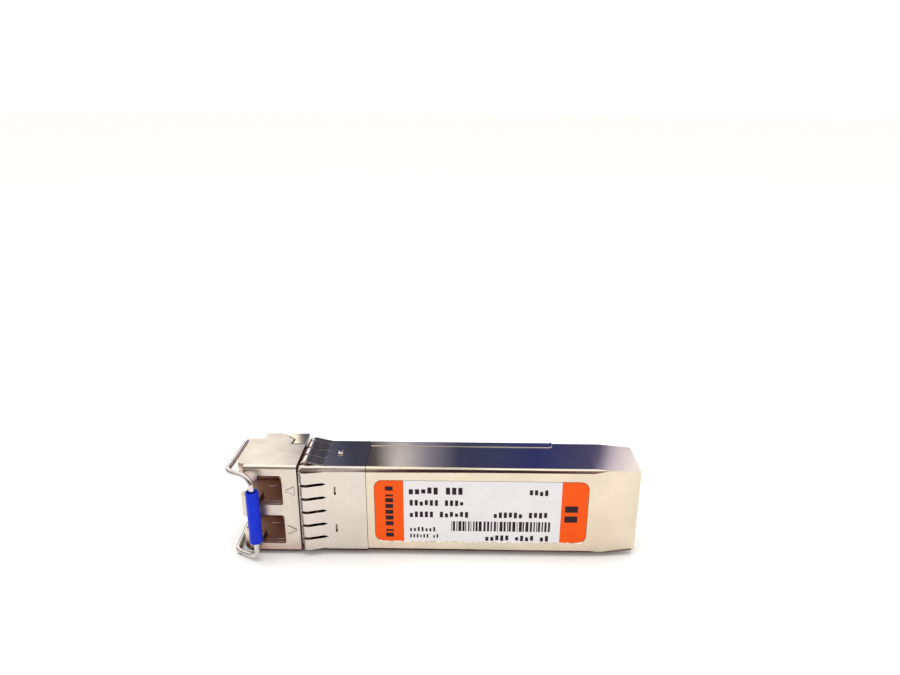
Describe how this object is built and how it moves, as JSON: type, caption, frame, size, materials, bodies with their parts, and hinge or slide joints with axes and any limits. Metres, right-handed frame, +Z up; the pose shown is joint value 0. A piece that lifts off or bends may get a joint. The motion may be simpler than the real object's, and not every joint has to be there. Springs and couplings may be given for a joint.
{
  "type": "optical transceiver module",
  "caption": "Pluggable optical transceiver: die-cast nose with fibre ports, spring collar, folded cover, wire bail that works a rocking latch, and a board whose edge is the plug.",
  "frame": {"origin": "under the middle of the module, on the surface it lies on, with the bail closed", "axes": "+X along the module from the fibre ports to the edge connector, +Y from the label face to the latch face, +Z up, across the module's width"},
  "size_m": [0.0576, 0.0128, 0.0145],
  "materials": {
    "casting": "nickel-plated die casting, satin",
    "sheet_steel": "nickel-plated stamped steel, bright",
    "spring_steel": "nickel-plated spring sheet, bright",
    "wire": "drawn stainless wire, bright",
    "sleeve_blue": "smooth soft plastic",
    "label_print": "printed film with orange ends and plain bars",
    "board": "solder mask over glass laminate",
    "gold": "gold plate",
    "package_black": "moulded epoxy",
    "ceramic": "polished zirconia",
    "polyimide": "amber film over copper",
    "ferrite": "sintered",
    "tantalum": "moulded",
    "thermal_pad": "soft filled silicone"
  },
  "bodies": {
    "module": {"housing": "casting", "cover": "sheet_steel", "label": "label_print", "emi_collar": "spring_steel", "latch_retainer": "sheet_steel", "latch_pivot_pin": "wire", "latch_spring": "spring_steel", "tx_receptacle": "spring_steel", "tx_split_sleeve": "ceramic", "tx_can": "gold", "tx_flex": "polyimide", "tx_fibre_stub": "ceramic", "rx_receptacle": "spring_steel", "rx_split_sleeve": "ceramic", "rx_can": "gold", "rx_flex": "polyimide", "optics_clamp": "package_black", "circuit_board": "board", "laser_driver_chip": "package_black", "limiting_amplifier_chip": "package_black", "microcontroller_chip": "package_black", "memory_chip": "package_black", "transmit_power_inductor": "ferrite", "receive_power_inductor": "ferrite", "bulk_capacitor": "tantalum", "board_thermal_pad": "thermal_pad"},
    "bail": {"bail_wire": "wire", "bail_sleeve": "sleeve_blue"},
    "latch": {"latch_lever": "casting"}
  },
  "joints": [
    {"name": "bail_hinge", "type": "hinge", "parent": "module", "child": "bail", "pos_m": [-0.02405, 0.00541, 0.00725], "axis": [0, 0, -1], "range_deg": [0, 90]},
    {"name": "latch_rock", "type": "hinge", "parent": "module", "child": "latch", "pos_m": [-0.02155, 0.00521, 0.00725], "axis": [0, 0, -1], "range_deg": [0, 5.1], "deforming": ["latch_spring"]}
  ],
  "couplings": [
    {"joint": "latch_rock", "follows": "bail_hinge", "ratio": 0.056}
  ]
}
